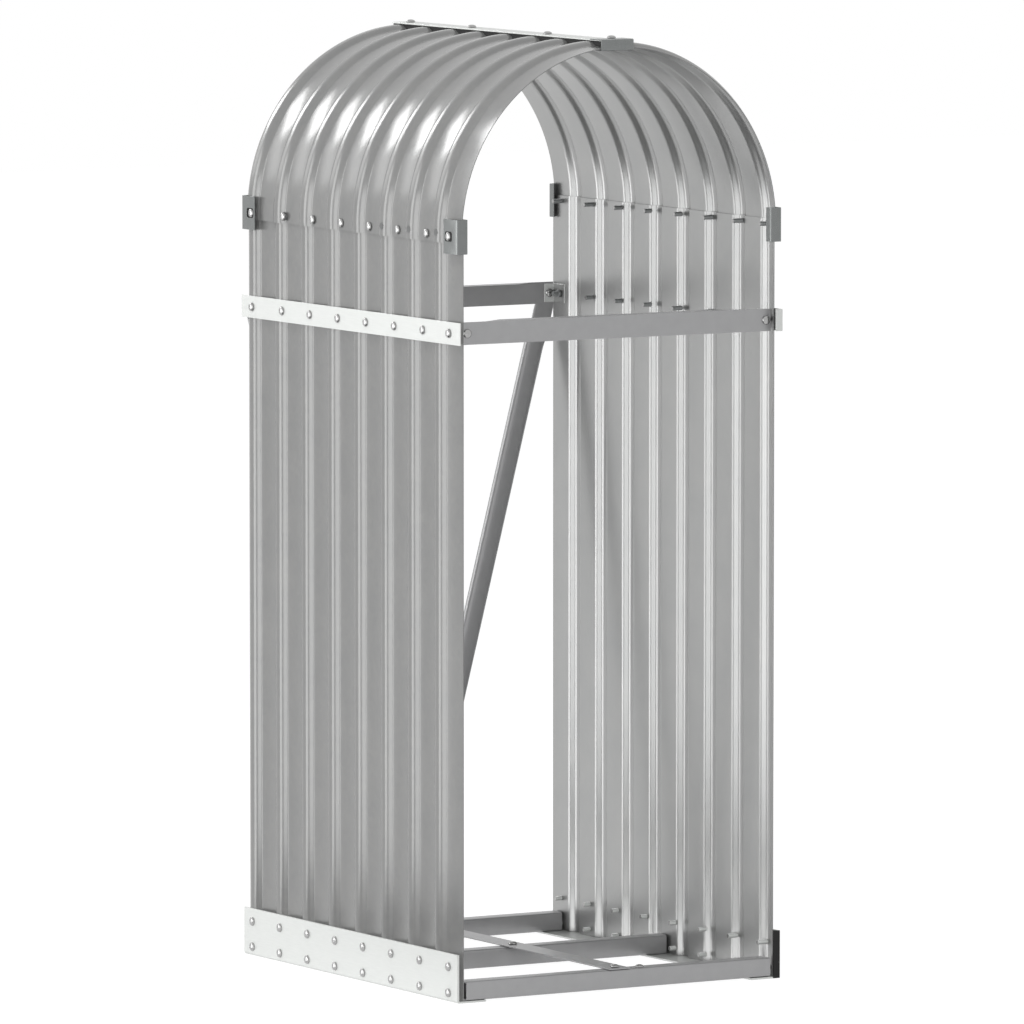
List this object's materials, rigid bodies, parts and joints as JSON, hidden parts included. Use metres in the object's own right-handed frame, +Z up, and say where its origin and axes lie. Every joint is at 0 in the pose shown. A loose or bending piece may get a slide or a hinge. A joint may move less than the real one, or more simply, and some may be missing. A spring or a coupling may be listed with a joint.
{
  "type": "firewood rack",
  "caption": "Tall narrow firewood rack of galvanised sheet: corrugated side panels on a base frame, a quarter-round roof each side, a ring of bars at mid height and a V brace behind.",
  "frame": {"origin": "middle of the footprint, on the floor", "axes": "+Z up, -Y out of the front opening, +X to the right as seen from the front"},
  "size_m": [0.3982, 0.47, 1.0023],
  "materials": {
    "galvanised_sheet": "smooth cold-galvanised corrugated sheet, satin gloss",
    "bright_zinc_bar": "flat galvanised strip, light and satin",
    "grey_zinc_profile": "galvanised tube and strip, grey and satin",
    "clip_steel": "darker galvanised clip, dull",
    "bolt_steel": "bright zinc-plated bolts and nuts"
  },
  "bodies": {
    "root": {"left_side_panel": "galvanised_sheet", "right_side_panel": "galvanised_sheet", "left_roof_sheet": "galvanised_sheet", "right_roof_sheet": "galvanised_sheet", "crown_bar": "bright_zinc_bar", "crown_backing_strip": "grey_zinc_profile", "front_crown_clip": "clip_steel", "front_left_clip": "clip_steel", "front_right_clip": "clip_steel", "back_left_clip": "clip_steel", "back_right_clip": "clip_steel", "left_mid_bar": "bright_zinc_bar", "right_mid_bar": "bright_zinc_bar", "front_mid_bar": "grey_zinc_profile", "back_mid_bar": "grey_zinc_profile", "front_left_corner_angle": "grey_zinc_profile", "front_right_corner_angle": "grey_zinc_profile", "back_left_corner_angle": "grey_zinc_profile", "back_right_corner_angle": "grey_zinc_profile", "left_base_skirt": "bright_zinc_bar", "right_base_skirt": "bright_zinc_bar", "front_base_rail": "grey_zinc_profile", "middle_base_rail": "grey_zinc_profile", "back_base_rail": "grey_zinc_profile", "base_centre_strip": "grey_zinc_profile", "left_brace": "grey_zinc_profile", "right_brace": "grey_zinc_profile", "left_joint_screw_1": "bolt_steel", "left_joint_screw_2": "bolt_steel", "left_joint_screw_3": "bolt_steel", "left_joint_screw_4": "bolt_steel", "left_joint_screw_5": "bolt_steel", "left_joint_screw_6": "bolt_steel", "left_joint_screw_7": "bolt_steel", "left_joint_screw_8": "bolt_steel", "right_joint_screw_1": "bolt_steel", "right_joint_screw_2": "bolt_steel", "right_joint_screw_3": "bolt_steel", "right_joint_screw_4": "bolt_steel", "right_joint_screw_5": "bolt_steel", "right_joint_screw_6": "bolt_steel", "right_joint_screw_7": "bolt_steel", "right_joint_screw_8": "bolt_steel", "front_crown_screw": "bolt_steel", "front_inner_crown_bolt": "bolt_steel", "back_inner_crown_bolt": "bolt_steel", "back_crown_bolt": "bolt_steel", "front_left_ring_bolt": "bolt_steel", "front_right_ring_bolt": "bolt_steel", "back_left_ring_bolt": "bolt_steel", "back_right_ring_bolt": "bolt_steel", "front_left_corner_bolt": "bolt_steel", "front_right_corner_bolt": "bolt_steel", "back_left_corner_bolt": "bolt_steel", "back_right_corner_bolt": "bolt_steel", "front_rail_screw": "bolt_steel", "middle_rail_screw": "bolt_steel", "back_rail_screw": "bolt_steel", "brace_foot_bolt": "bolt_steel"}
  },
  "joints": []
}
